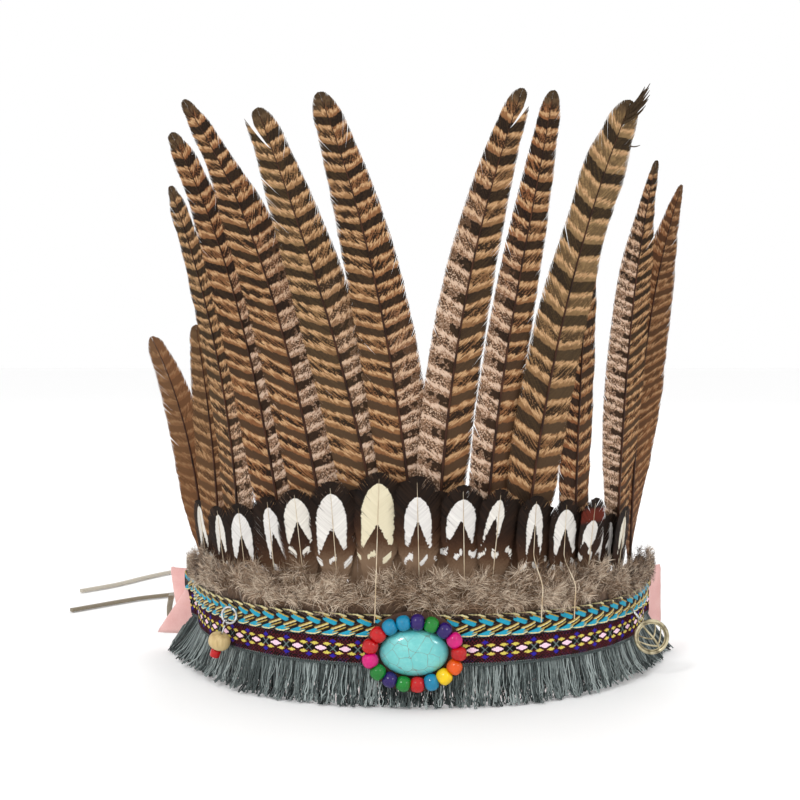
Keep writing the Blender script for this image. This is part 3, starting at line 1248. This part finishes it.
def painted_bead(number, out, normal, look, slot):
    """A bead of the rosette, threaded across its normal, a little uneven in form and place."""
    node = f"bead_{number:02d}"
    points = node_points(node)
    random = np.random.default_rng(number)
    hole_axis = unit(np.cross(normal, out))
    length = np.ptp(points @ hole_axis) * random.uniform(1.02, 1.08)
    radius = np.ptp(points @ out) / 2 * random.uniform(1.1, 1.15)
    bead, faces = drilled_bead(length, radius, 0.9 * MM, 36, 2.25)
    bead[:, :2] *= 1 + 0.02 * np.sin(2 * np.arctan2(bead[:, 1:2], bead[:, :1]) + number)
    tilt = hole_axis + 0.06 * random.normal(0, 1) * normal
    piece(f"{node}_painted", (turned(bead, middle_of(points), tilt, normal), faces), [look], slot, node)


def rosette(bead_looks, stone_look, thread_look, backing_look):
    """The stone and its painted beads. The thread and the backing keep the frame's form."""
    backing = node_points("rosette_backing")
    centre = middle_of(backing)
    out = axes_of(backing)[2]
    out = out * np.sign(out @ band.outward(0.0))
    side = unit(np.cross(UP, out))
    side = side * np.sign(side @ band.forward(0.0))
    cabochon_stone(stone_look, out, side)
    wide, high = np.ptp(backing @ side), np.ptp(backing[:, 2])
    slots = {m["node"]: m["material_slot"] for m in frame["record"]["subparts"]}
    for number in range(1, bead_count + 1):
        node = f"bead_{number:02d}"
        place = middle_of(node_points(node)) - centre
        normal = unit(side * (place @ side) / wide**2 + UP * place[2] / high**2)
        painted_bead(number, out, normal, bead_looks[slots[node]], slots[node])
    for node, look in (("bead_thread", thread_look), ("rosette_backing", backing_look)):
        materials = frame["nodes"][node].data.materials
        materials.clear()
        materials.append(look)


def jump_ring(node, look, opening):
    """A round wire ring, cut where it opens. Returns its centre."""
    wire = 1.15 * MM
    points = node_points(node)
    centre, axes = middle_of(points), axes_of(points)
    radius = max(np.ptp(points @ axes[0]), np.ptp(points @ axes[1])) / 2 - wire / 2
    angle = np.linspace(opening, opening + 2 * math.pi - 0.07, 72)[:, None]
    path = centre + radius * (np.cos(angle) * axes[0] + np.sin(angle) * axes[1])
    radii = np.full(len(path), wire / 2)
    radii[[0, -1]] *= 0.4
    piece(f"{node}_wire", tubes(path, radii, 10, axes[2]), [look], "silver", node)
    return centre


def left_charm(silver, wood, red):
    """The ring, the pin with its eye and head, and the two beads on the pin."""
    ring_centre = jump_ring("charm_ring_left", silver, 2.0)
    points = node_points("bead_pin")
    centre = middle_of(points)
    down = axes_of(points)[0]
    down = down * np.sign(down @ (centre - ring_centre))
    along = (points - centre) @ down
    eye_radius = 1.3 * MM
    eye = centre + down * (along.min() + eye_radius + 0.4 * MM)
    eye_normal = axes_of(points[along < along.min() + 2 * eye_radius + 0.8 * MM])[2]
    across = unit(np.cross(down, eye_normal))
    turn = np.linspace(math.pi * 0.5, math.pi * 2.42, 30)[:, None]
    loop = eye + eye_radius * (np.cos(turn) * across + np.sin(turn) * down)
    piece("bead_pin_eye", tubes(loop, 0.4 * MM, 10, eye_normal), [silver], "silver", "bead_pin")
    shank = np.linspace(eye + down * eye_radius, centre + down * along.max(), 24)
    radii = np.interp(np.arange(24), [0, 21, 22, 23], [0.4, 0.4, 0.85, 0.5]) * MM
    piece("bead_pin_shank", tubes(shank, radii, 10, eye_normal), [silver], "silver")
    for node, look, slot, fullness, hole in (
        ("wood_bead", wood, "bare_wood", 2.3, 0.8 * MM), ("red_bead", red, "bead_red", 5.0, 0.75 * MM),
    ):
        points = node_points(node)
        middle = centre + down * ((points.mean(0) - centre) @ down)
        aside = points - middle - ((points - middle) @ down)[:, None] * down
        radius = np.linalg.norm(aside, axis=1).max()
        bead, faces = drilled_bead(np.ptp(points @ down), radius, hole, 40, fullness)
        piece(f"{node}_turned", (turned(bead, middle, down, across), faces), [look], slot, node)


def right_charm(silver, pewter):
    """The ring and the medallion: a beaten rim with a line inside it, an eye, a spine and four veins."""
    ring_centre = jump_ring("charm_ring_right", silver, 0.6)
    points = node_points("medallion")
    out = axes_of(points)[2]
    out = out * np.sign(-out[1])
    up = ring_centre - points.mean(0)
    up = unit(up - (up @ out) * out)
    side = np.cross(up, out)
    centre = middle_of(points)
    radius = np.ptp(points @ side) / 2
    disc = centre + up * (((points - centre) @ up).min() + radius)

    def flat(x, y, lift=0.0):
        return disc + np.multiply.outer(x, side) + np.multiply.outer(y, up) + lift * out

    turn = np.linspace(0, 2 * math.pi, 65)
    t = np.linspace(0, 1, 20)
    rim, line, eye = radius - 0.85 * MM, radius - 2.0 * MM, 1.25 * MM
    inner = radius - 1.2 * MM
    wires = [
        (flat(rim * np.cos(turn), rim * np.sin(turn)), 0.85 * MM * (1 + 0.06 * np.sin(turn * 23)), 10),
        (flat(line * np.cos(turn), line * np.sin(turn)), 0.35 * MM, 10),
        (flat(eye * np.cos(turn), radius + 0.9 * MM + eye * np.sin(turn)), 0.42 * MM, 8),
        (flat(0.5 * MM * np.sin(t * 5), -inner + 2 * inner * t, 0.15 * MM), 0.55 * MM, 8),
    ]
    slope = math.radians(48)
    for mirror in (-1, 1):
        for foot in (-0.62 * radius, -0.12 * radius):
            drop = foot * math.sin(slope)
            run = t * (math.sqrt(drop**2 - foot**2 + inner**2) - drop)
            y = foot + run * math.sin(slope) - 0.9 * MM * np.sin(t * math.pi)
            wires.append((flat(mirror * run * math.cos(slope), y), (0.46 - 0.14 * t) * MM, 8))
    (vertices, faces), _ = together([(tubes(path, radii, sides, out), {}) for path, radii, sides in wires])
    squeeze = 0.4 * (1 - 0.85 * np.ptp(points @ out) / (1.5 * MM))
    vertices = vertices - squeeze * ((vertices - disc) @ out)[:, None] * out
    piece("medallion_cast", (vertices, faces), [pewter], "pewter", "medallion")


def tie(node, route, look, slot):
    """A flat lace along its route, which is one smooth curve through the points."""
    steps = np.concatenate([[0], np.cumsum(np.linalg.norm(np.diff(route, axis=0), axis=1))])
    path = hermite(np.linspace(0, steps[-1], 420), steps, route)
    path[:, 2] = np.maximum(path[:, 2], lace_thickness / 2)
    along = unit(np.gradient(path, axis=0))
    side = unit(np.cross(along, UP))
    corners = 12
    turn = (np.arange(corners) * 2 * math.pi / corners)[:, None]
    across = lace_width / 2 * signed_power(np.cos(turn), 0.55) * side[:, None]
    rise = lace_thickness / 2 * signed_power(np.sin(turn), 0.55) * np.cross(side, along)[:, None]
    faces = grid_faces(len(path), corners, wrap=True).tolist()
    ends = [list(range(corners))[::-1], [(len(path) - 1) * corners + k for k in range(corners)]]
    smooth = [True] * len(faces) + [False] * len(ends)
    shape = path[:, None] + across + rise, faces + ends
    lace = piece(f"{node}_lace", shape, [look], slot, node, smooth=smooth)


# The cords come first
olive_suede = suede_material("suede_olive", "#7D7361", "#96896F", "#5E5444")
grey_suede = suede_material("suede_grey", "#B8B0A0", "#CFC8BA", "#948B7B")
tie("tie_left", tie_left_route, olive_suede, "suede_olive")
tie("tie_right", tie_right_route, grey_suede, "suede_grey")

felt_inside = felt_lining(felt_material())
lining_stitches(thread_material("stitch_thread", "#8A6A5C"), felt_inside)
weave_codes = {
    "weave_black": "#100D0C", "weave_maroon": "#561A22", "weave_purple": "#33204A", "weave_yellow": "#CDBF58",
    "weave_pink": "#F0C9DA", "weave_blue": "#2A2296", "weave_grey": "#5F6B68",
}
shiny_weave = ("weave_yellow", "weave_pink", "weave_blue")
woven_ribbon([thread_material(name, code, 0.7 if name in shiny_weave else 0.8, 0.0)
              for name, code in weave_codes.items()])
braid({
    "turquoise": thread_material("braid_turquoise", "#2393B0", 0.5, 0.1),
    "brown": thread_material("braid_brown", "#2A170E", 0.5, 0.2),
    "cream": thread_material("braid_cream", "#D6CA94", 0.4, 0.2, 0.2),
    "gold": thread_material("braid_gold", "#B0944A", 0.35, 0.1, 0.45),
}, thread_material("braid_core", "#1C120D", 0.8))
fringe(fibre_material("fringe_yarn", "#4B5554", "#1A2121", "#9CA6A4", 0.1, 900))
ruff(fibre_material("down_fibre", "#8F755D", "#45301F", "#D8C6B0", 0.15, 300),
     fibre_material("down_body", "#6A5341", "#3D2D22", "#8C735B", 0.1, 260))

tail_look = tail_material()
tail_quill_look = quill_material("tail_quill", "#22130C", "#4A2C1C")
for number, row in enumerate(tail_rows, 1):
    tail_feather(number, row, tail_look, tail_quill_look)
plume_look = plume_material()
plume_shaft_look = quill_material("plume_shaft", "#B79F80", "#E8DCC4")
for number, row in enumerate(plume_rows, 1):
    plume(number, row, plume_look, plume_shaft_look)
under_plumes(plume_look)

bead_codes = {
    "bead_purple": "#250A5E", "bead_green": "#0E7A26", "bead_pink": "#CC0872", "bead_red": "#B8060C",
    "bead_orange": "#DC5200", "bead_yellow": "#EEC400", "bead_blue": "#067FA6",
}
bead_looks = {slot: painted_bead_material(slot, code) for slot, code in bead_codes.items()}
silver_look = metal_material("silver_plate", "#D8D9DC", "#A9A8A6", 0.16)
rosette(bead_looks, turquoise_material(), thread_material("bead_thread", "#D8D0C0"), leather_material())
left_charm(silver_look, wood_material(), bead_looks["bead_red"])
right_charm(silver_look, metal_material("pewter_cast", "#C9BE9E", "#6E6450", 0.28, 300))


# Floor, light and background
half = 4.0
floor_corners = [(-half, -half, 0), (half, -half, 0), (half, half, 0), (-half, half, 0)]
floor_look = Shader("floor").done("#FCFCFC", 0.9)
floor = new_object("floor", (floor_corners, [(0, 1, 2, 3)]), [floor_look])

world = bpy.data.worlds.new("studio")
world.use_nodes = True
world.node_tree.nodes["Background"].inputs["Color"].default_value = (1, 1, 1, 1)
world.node_tree.nodes["Background"].inputs["Strength"].default_value = 1.0
bpy.context.scene.world = world


middle_high = (0, 0, 0.12)


def soft_light(name, place_at, size, power):
    data = bpy.data.lights.new(name, "AREA")
    data.shape = "DISK"
    data.size = size
    data.energy = power
    light = bpy.data.objects.new(name, data)
    light.location = place_at
    light.rotation_euler = (Vector(middle_high) - Vector(place_at)).to_track_quat("-Z", "Y").to_euler()
    bpy.context.scene.collection.objects.link(light)


soft_light("key", (-0.6, -1.2, 1.0), 0.26, 7.5)
soft_light("fill", (1.0, -1.0, 0.8), 0.3, 2.5)
soft_light("back", (0.2, 1.2, 1.2), 0.9, 3.5)

bpy.context.scene.view_settings.view_transform = "Standard"
